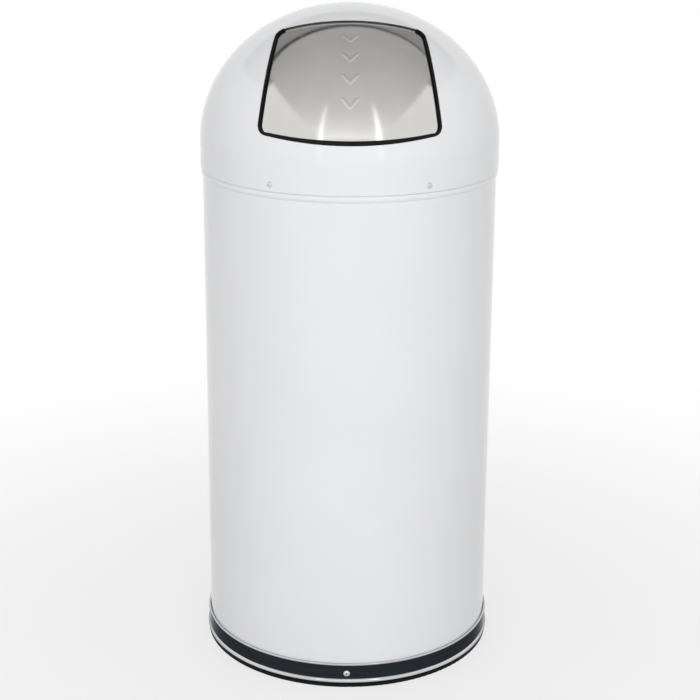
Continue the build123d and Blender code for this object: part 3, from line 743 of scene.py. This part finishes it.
class TRASHCAN_OT_dome_head(bpy.types.Operator):
    """Spins the dome with its hem and cuts the opening through its front"""

    bl_idname = "trash_can.dome_head"
    bl_label = "Make the dome head"

    def execute(self, context):
        sizes = context.scene.trash_can_head
        turns = np.linspace(0, math.pi / 2, sizes.rings + 1)
        outer, inner = sizes.radius, sizes.radius - sizes.sheet
        hem_inner, hem_top = outer - sizes.hem_thickness, sizes.edge + sizes.hem_height
        edge = sizes.hem_round

        def skin(radius, rise, angles):
            spring = sizes.top - sizes.rise
            return [(radius * math.cos(t), spring + rise * math.sin(t)) for t in angles]

        points = [(0.0, sizes.top), *skin(outer, sizes.rise, turns[-2::-1])]
        points += arc((outer - edge, sizes.edge + edge), edge, 0, -90, steps=6)
        points += arc((hem_inner + edge, sizes.edge + edge), edge, -90, -180, steps=6)
        points += [(hem_inner, hem_top), (inner, hem_top)]
        points += skin(inner, sizes.rise - sizes.sheet, turns[:-1])
        points += [(0.0, sizes.top - sizes.sheet)]
        segments = context.scene.trash_can_body.segments
        piece = new_object("dome_head_fine", turned_mesh("dome_head_fine", points, segments))
        cutter = opening_cutter(sizes)
        cut = piece.modifiers.new("Opening", "BOOLEAN")
        cut.object = cutter
        cut.operation = "DIFFERENCE"
        cut.solver = "EXACT"
        keep_result(piece, cut)
        bpy.data.objects.remove(cutter)
        set_dome_normals(piece.data, sizes)
        settle(piece, "head", "dome_head")
        return {"FINISHED"}


def path_lengths(points):
    """Length of a polyline from its first point to each of its points."""
    steps = np.linalg.norm(np.diff(points, axis=0), axis=1)
    return np.concatenate(([0.0], np.cumsum(steps)))


class TRASHCAN_OT_opening_trim(bpy.types.Operator):
    """Runs the rubber trim along the sides and the sill of the opening"""

    bl_idname = "trash_can.opening_trim"
    bl_label = "Make the opening trim"

    def execute(self, context):
        sizes = context.scene.trash_can_head
        points, ways, _ = opening_half(sizes)
        kept = (points[:, 0] > sizes.trim_gap_width / 2) | (points[:, 1] < 0)
        end = [[sizes.trim_gap_width / 2, sizes.opening_top]]
        points = np.concatenate((points[kept], end))
        ways = np.concatenate((ways[kept], [[0.0, 1.0]]))
        points, ways = (
            np.concatenate((half[:0:-1] * (-1, 1), half)) for half in (points, ways)
        )
        runs = path_lengths(points)
        from_end = np.minimum(runs, runs[-1] - runs)
        thin = 0.25
        full = np.clip(thin + (1 - thin) * from_end / sizes.trim_end, 0, 1)
        rings = [self.ring(sizes, *place) for place in zip(points, ways, full)]
        count = len(rings[0])
        vertices = [tuple(place) for ring in rings for place in ring]
        numbers = [range(first, first + count) for first in range(0, len(vertices), count)]
        faces = [*tube_faces(numbers), numbers[0], numbers[-1]]
        mesh = closed_mesh("opening_trim_fine", vertices, faces)
        smooth(mesh, sharp_degrees=50)
        settle(new_object("opening_trim_fine", mesh), "head", "opening_trim")
        return {"FINISHED"}

    def ring(self, sizes, place, way, share):
        """The rubber's rounded section at a place of the edge, thinned to its share."""
        sill_focus, most_round, corner_steps = 6, 0.45, 5
        corners = ((1, 1), (0, 1), (0, 0), (1, 0))
        inside = -share * sizes.trim_core - sizes.trim_sill * max(0.0, -way[1]) ** sill_focus
        outside = share * sizes.trim_lip
        back = -sizes.sheet - sizes.trim_back
        front = share * sizes.trim_proud
        rounding = min(
            sizes.trim_round, most_round * (outside - inside), most_round * (front - back)
        )
        ring = []
        for (outer, raised), start in zip(corners, (0, 90, 180, 270)):
            middle = outside - rounding if outer else inside + rounding
            seat = front - rounding if raised else back + rounding
            for turn in np.radians(np.linspace(start, start + 90, corner_steps + 1)):
                offset = middle + rounding * math.cos(turn)
                skin, normal = on_dome(sizes, 0.0, place + way * offset)
                ring.append(skin + normal * (seat + rounding * math.sin(turn)))
        return ring


def side_points(points, shares):
    """Points at shares of a polyline's length."""
    runs = path_lengths(points)
    return np.stack(
        [np.interp(shares, runs / runs[-1], points[:, axis]) for axis in (0, 1)], axis=1
    )


def mark_height(sizes, flat):
    """Height of the stamped chevrons over points of the opening's plane."""
    across, up = np.abs(flat[..., 0]), flat[..., 1]
    arm = np.array((sizes.mark_width / 2, sizes.mark_height))
    height = np.zeros(across.shape)
    for number in range(sizes.mark_count):
        foot = sizes.mark_first - number * sizes.mark_pitch - sizes.mark_height / 2
        share = np.clip((across * arm[0] + (up - foot) * arm[1]) / (arm @ arm), 0, 1)
        gap = np.hypot(across - share * arm[0], up - foot - share * arm[1])
        fall = np.clip((gap - sizes.mark_stroke / 2) / sizes.mark_edge + 0.5, 0, 1)
        height = np.maximum(height, 1 - fall * fall * (3 - 2 * fall))
    return height * sizes.mark_relief


class TRASHCAN_OT_flap_plate(bpy.types.Operator):
    """Presses the flap to the dome's curve and stamps plain chevrons down its middle"""

    bl_idname = "trash_can.flap_plate"
    bl_label = "Make the flap plate"

    def execute(self, context):
        head = context.scene.trash_can_head
        sizes = context.scene.trash_can_flap
        flat = self.grid(head, sizes)
        nudge = 0.02 * MM

        def pressed(inset, points):
            skin, normal = on_dome(head, inset, points)
            return skin + normal * mark_height(sizes, points)[..., None]

        def directions(inset):
            over = pressed(inset, flat + (nudge, 0)) - pressed(inset, flat - (nudge, 0))
            rise = pressed(inset, flat + (0, nudge)) - pressed(inset, flat - (0, nudge))
            normal = np.cross(over, rise)
            return normal / np.linalg.norm(normal, axis=-1, keepdims=True)

        front, back = sizes.inset, sizes.inset + sizes.sheet
        vertices, normals = (
            np.concatenate([half.reshape(-1, 3) for half in halves])
            for halves in (
                (pressed(front, flat), pressed(back, flat)),
                (directions(front), -directions(back)),
            )
        )
        far = flat.shape[0] * flat.shape[1]
        index = np.arange(far).reshape(flat.shape[:2])
        quads = np.stack(
            (index[:-1, :-1], index[:-1, 1:], index[1:, 1:], index[1:, :-1]), axis=-1
        ).reshape(-1, 4)
        rim = np.concatenate((
            index[0, :-1], index[:-1, -1], index[-1, :0:-1], index[:0:-1, 0]
        ))
        following = np.roll(rim, -1)
        edge = np.stack((rim, rim + far, following + far, following), axis=-1)
        faces = np.concatenate((quads, quads[:, ::-1] + far, edge))
        mesh = bpy.data.meshes.new("flap_plate_fine")
        mesh.from_pydata(vertices.tolist(), [], faces.tolist())
        mesh.shade_smooth()
        corner_normals = normals[faces.reshape(-1)]
        edge_normals = np.repeat(read(mesh.polygons, "normal")[-len(edge):], 4, axis=0)
        corner_normals[-len(edge_normals):] = edge_normals
        mesh.normals_split_custom_set(corner_normals.tolist())
        settle(new_object("flap_plate_fine", mesh), "flap", "flap_plate")
        return {"FINISHED"}

    def grid(self, head, sizes):
        """Points of the flap on the opening's plane, closer together across the marks."""
        half, ways, (low_corner, high_corner) = opening_half(
            head, sizes.top_overlap - sizes.overlap
        )
        half = half + ways * sizes.overlap
        mirror = np.array((-1, 1))
        marks, edge = 0.075, 0.5
        coarse_steps, fine_steps, rise_steps = 31, 56, 260
        across = np.concatenate((
            np.linspace(-edge, -marks, coarse_steps + 1)[:-1],
            np.linspace(-marks, marks, fine_steps + 1),
            np.linspace(marks, edge, coarse_steps + 1)[1:],
        )) + edge
        up = np.linspace(0, 1, rise_steps + 1)
        sill = np.concatenate((half[low_corner:0:-1] * mirror, half[: low_corner + 1]))
        top = half[high_corner:]
        top = np.concatenate((top * mirror, top[-2::-1]))
        sill, top = side_points(sill, across), side_points(top, across)
        right = side_points(half[low_corner:high_corner + 1], up)
        left = right * mirror
        s, t = across[None, :, None], up[:, None, None]
        return (
            (1 - t) * sill[None] + t * top[None] + (1 - s) * left[:, None] + s * right[:, None]
            - (1 - s) * (1 - t) * left[0] - s * (1 - t) * right[0]
            - (1 - s) * t * left[-1] - s * t * right[-1]
        )


class TRASHCAN_OT_rivets(bpy.types.Operator):
    """Sets the blind rivets of the foot band and the head"""

    bl_idname = "trash_can.rivets"
    bl_label = "Set the rivets"

    def execute(self, context):
        scene = context.scene
        sizes, body, head = scene.trash_can_rivets, scene.trash_can_body, scene.trash_can_head
        quarter = math.pi / 2
        spread = sizes.head_spread
        front, rear = -quarter, quarter
        rows = (
            ("base_rivets", "root", body.band_radius, sizes.base_height, sizes.base_grip,
             [quarter * i for i in range(4)]),
            ("head_rivets", "head", head.radius, head.edge + sizes.head_rise, sizes.head_grip,
             [front - spread, front + spread, rear - spread, rear + spread]),
        )
        for node, rides_on, radius, height, grip, turns in rows:
            ways = [(math.cos(turn), math.sin(turn), 0.0) for turn in turns]
            mesh = bpy.data.meshes.new(node)
            mesh.from_pydata([(radius * x, radius * y, height) for x, y, _ in ways], [], [])
            outward = mesh.attributes.new(PLACE_ATTRIBUTE, "FLOAT_VECTOR", "POINT")
            outward.data.foreach_set("vector", [part for way in ways for part in way])
            piece = new_object(node + "_fine", mesh)
            rivet = self.rivet(sizes, grip)
            grow(piece, rivet_tree(), rivet=rivet, seed=7, finish=finish(node))
            bpy.data.objects.remove(rivet)
            smooth(piece.data, sharp_degrees=40)
            settle(piece, rides_on, node)
        return {"FINISHED"}

    def rivet(self, sizes, grip):
        """One set rivet, its head's seat at the origin."""
        crown = sizes.head_height
        curve = (sizes.head_radius**2 + crown**2) / (2 * crown)
        reach = math.degrees(math.asin(sizes.head_radius / curve))
        hole = math.degrees(math.asin(sizes.core_radius / curve))
        core_foot = crown - sizes.core_depth
        blind_end = -grip - sizes.bulge_length
        points = [(0.0, core_foot), (sizes.core_radius, core_foot)]
        points += arc((0.0, crown - curve), curve, 90 - hole, 90 - reach, steps=10)
        points += [
            (sizes.shank_radius, 0.0),
            (sizes.shank_radius, -grip),
            (sizes.bulge_radius, -grip),
            (sizes.bulge_radius, -grip - sizes.bulge_length / 2),
            (sizes.shank_radius, blind_end),
            (0.0, blind_end),
        ]
        return new_object("Rivet", turned_mesh("Rivet", points, segments=32))


class TRASHCAN_OT_kept_pieces(bpy.types.Operator):
    """Gives the pieces that keep the frame's own shapes their finishes"""

    bl_idname = "trash_can.kept_pieces"
    bl_label = "Finish the kept pieces"

    def execute(self, context):
        for node, piece in NODES.items():
            piece.data.materials.clear()
            piece.data.materials.append(finish(node))
        return {"FINISHED"}


# ---- Studio ----


def soft_light(name, place, wide, tall, radiance):
    """A soft lamp that neither camera nor mirrors see, by its face's brightness."""
    aim = (0.0, 0.0, 0.4)
    data = bpy.data.lights.new(name, "AREA")
    data.shape = "RECTANGLE"
    data.size, data.size_y = wide, tall
    data.energy = radiance * math.pi * wide * tall
    lamp = bpy.data.objects.new(name, data)
    across, deep, rise = np.subtract(aim, place)
    turn = math.atan2(deep, across) - math.pi / 2
    lift = math.atan2(rise, math.hypot(across, deep))
    lamp.matrix_world = (
        Matrix.Translation(place)
        @ Matrix.Rotation(turn, 4, "Z")
        @ Matrix.Rotation(math.pi / 2 + lift, 4, "X")
    )
    lamp.visible_camera = False
    lamp.visible_glossy = False
    bpy.context.scene.collection.objects.link(lamp)


def shown_white(tree):
    """One where a camera, mirror or glass ray looks at the studio, else nought."""
    path = add(tree, "ShaderNodeLightPath")
    seen = calculate(tree, "MAXIMUM", path["Is Camera Ray"], path["Is Glossy Ray"])
    return calculate(tree, "MAXIMUM", seen, path["Is Transmission Ray"])


def studio_world(strength):
    """A white room: white where it is seen, and a plain soft light on the can."""
    world = bpy.data.worlds.new("Studio")
    tree = clear_tree(world)
    brightness = ranged(tree, shown_white(tree), 0.0, 1.0, strength, 1.0)
    inputs = {"Color": (1.0, 1.0, 1.0, 1.0), "Strength": brightness}
    room = add(tree, "ShaderNodeBackground", inputs)
    add(tree, "ShaderNodeOutputWorld", {"Surface": room["Background"]})
    bpy.context.scene.world = world


def floor_finish(base):
    """Pale floor that keeps a soft shadow near the can and runs out to white."""
    near, far, near_share = 0.2, 1.1, 0.72
    material, tree = new_material("Studio floor")
    painted = add(tree, "ShaderNodeBsdfDiffuse", {"Color": (*base, 1.0)})
    lit = add(tree, "ShaderNodeEmission")
    inputs = {0: own_place(tree)}
    away = add(tree, "ShaderNodeVectorMath", inputs, operation="LENGTH")["Value"]
    share = ranged(tree, away, near, far, near_share, 1.0, interpolation_type="SMOOTHSTEP")
    inputs = {
        "Fac": calculate(tree, "MULTIPLY", share, shown_white(tree)),
        1: painted["BSDF"],
        2: lit["Emission"],
    }
    blend = add(tree, "ShaderNodeMixShader", inputs)
    add(tree, "ShaderNodeOutputMaterial", {"Surface": blend["Shader"]})
    return material


def glow_finish(name, axis, start, end, first, last):
    """Light whose strength runs evenly between two places on one axis."""
    material, tree = new_material(name)
    strength = ranged(tree, along_axis(tree, axis), start, end, first, last)
    glow = add(tree, "ShaderNodeEmission", {"Strength": strength})
    add(tree, "ShaderNodeOutputMaterial", {"Surface": glow["Emission"]})
    return material


def flat_sheet(name, corners, material):
    """A flat sheet of the studio with the given corners, hidden from the camera."""
    mesh = bpy.data.meshes.new(name)
    mesh.from_pydata(corners, [], [range(len(corners))])
    mesh.materials.append(material)
    sheet = new_object(name, mesh)
    sheet.visible_camera = False
    return sheet


def level_sheet(name, height, outline, material):
    """A level sheet of the studio with the given outline."""
    return flat_sheet(name, [(across, deep, height) for across, deep in outline], material)


def block(left, right, near, far):
    """Outline of a rectangle."""
    return [(left, near), (right, near), (right, far), (left, far)]


def bowed_outline(front, rear, skew):
    """Outline of an overhead sheet, flared towards the camera and bowed at the rear."""
    side, flare, bow = 2.4, 1.33, 1.08
    points = [(-flare * side, front), (flare * side, front)]
    for turn in np.linspace(0, math.pi, 33):
        along = math.cos(turn)
        points.append((side * along, rear + bow * math.sin(turn) + skew * along))
    return points


def light_strip(name, turned, strength):
    """A narrow upright strip of light in front of the can, brightest at its foot."""
    away, width, foot, top, top_strength = 2.2, 0.12, 0.45, 2.85, 0.8
    turn = math.radians(turned)
    sine, cosine = math.sin(turn), math.cos(turn)
    left, right = (
        (away * sine + side * width / 2 * cosine, -away * cosine + side * width / 2 * sine)
        for side in (-1, 1)
    )
    corners = [(*left, foot), (*right, foot), (*right, top), (*left, top)]
    return flat_sheet(name, corners, glow_finish(name, "Z", foot, top, strength, top_strength))


class TRASHCAN_OT_stage(bpy.types.Operator):
    """Sets up the floor, the lamps and the camera"""

    bl_idname = "trash_can.stage"
    bl_label = "Set up the studio"

    def execute(self, context):
        scene = context.scene
        reach = 12.0
        floor = level_sheet(
            "studio_floor", 0.0, block(-reach, reach, -reach, reach),
            floor_finish(scene.trash_can_finishes.floor),
        )
        floor.visible_camera = True
        front, rear = -8.5, 3.4
        overhead = [
            level_sheet(name, height, outline, glow_finish(name, "Y", front, end, first, last))
            for name, height, outline, end, first, last in (
                ("studio_cloth", 2.9, bowed_outline(front, 0.42, 0.17), 0.65, 1.38, 0.52),
                ("studio_batten", 2.92, bowed_outline(front, 0.64, 0.06), reach, 0.04, 0.04),
                ("studio_screen", 2.94, block(-rear, rear, 0.0, rear), reach, 0.34, 0.34),
            )
        ]
        left = light_strip("strip_left", -22, 2.5)
        right = light_strip("strip_right", 22, 3.4)
        for name, place, wide, tall, radiance in (
            ("front_wall", (0.0, -3.2, 1.05), 3.0, 1.1, 1.2),
            ("front_fill", (0.0, -2.6, 1.6), 2.0, 2.0, 1.5),
            ("rear_fill", (0.0, 2.6, 1.1), 2.0, 2.0, 2.1),
        ):
            soft_light(name, place, wide, tall, radiance)
        studio_world(strength=0.64)
        self.camera(scene)
        scene.view_settings.view_transform = "Standard"
        return {"FINISHED"}

    def camera(self, scene):
        """The photo's view from a little above the can."""
        place, down, roll = (0.0, -1.9, 0.965), 17.17, 0.34
        data = bpy.data.cameras.new("Camera")
        data.sensor_width = 36.0
        data.lens = 86.53
        data.shift_x = 0.0019
        data.shift_y = -0.0286
        camera = bpy.data.objects.new("Camera", data)
        camera.matrix_world = (
            Matrix.Translation(place)
            @ Matrix.Rotation(math.radians(90 - down), 4, "X")
            @ Matrix.Rotation(math.radians(roll), 4, "Z")
        )
        scene.collection.objects.link(camera)
        scene.camera = camera


# ---- Add-on ----

OPERATORS = (
    TRASHCAN_OT_kept_pieces,
    TRASHCAN_OT_body_shell,
    TRASHCAN_OT_base_ring,
    TRASHCAN_OT_dome_head,
    TRASHCAN_OT_opening_trim,
    TRASHCAN_OT_flap_plate,
    TRASHCAN_OT_rivets,
    TRASHCAN_OT_stage,
)
GROUPS = {
    "trash_can_body": BodySizes,
    "trash_can_head": HeadSizes,
    "trash_can_flap": FlapSizes,
    "trash_can_rivets": RivetSizes,
    "trash_can_finishes": Finishes,
}


class TRASHCAN_PT_panel(bpy.types.Panel):
    """Lists the can's pieces, sizes and colours"""

    bl_idname = "TRASHCAN_PT_panel"
    bl_label = "Dome top trash can"
    bl_space_type = "VIEW_3D"
    bl_region_type = "UI"
    bl_category = "Trash can"

    def draw(self, context):
        for operator in OPERATORS:
            self.layout.operator(operator.bl_idname)
        for name, group in GROUPS.items():
            box = self.layout.box()
            box.label(text=group.__name__)
            settings = getattr(context.scene, name)
            for field in group.__annotations__:
                box.prop(settings, field)


CLASSES = (*GROUPS.values(), *OPERATORS, TRASHCAN_PT_panel)


def register():
    for kind in CLASSES:
        bpy.utils.register_class(kind)
    for name, group in GROUPS.items():
        setattr(bpy.types.Scene, name, PointerProperty(type=group))


def unregister():
    for name in GROUPS:
        delattr(bpy.types.Scene, name)
    for kind in reversed(CLASSES):
        bpy.utils.unregister_class(kind)


def main():
    """Makes every piece in order."""
    register()
    for operator in OPERATORS:
        group, name = operator.bl_idname.split(".")
        getattr(getattr(bpy.ops, group), name)()


if __name__ == "__main__":
    main()
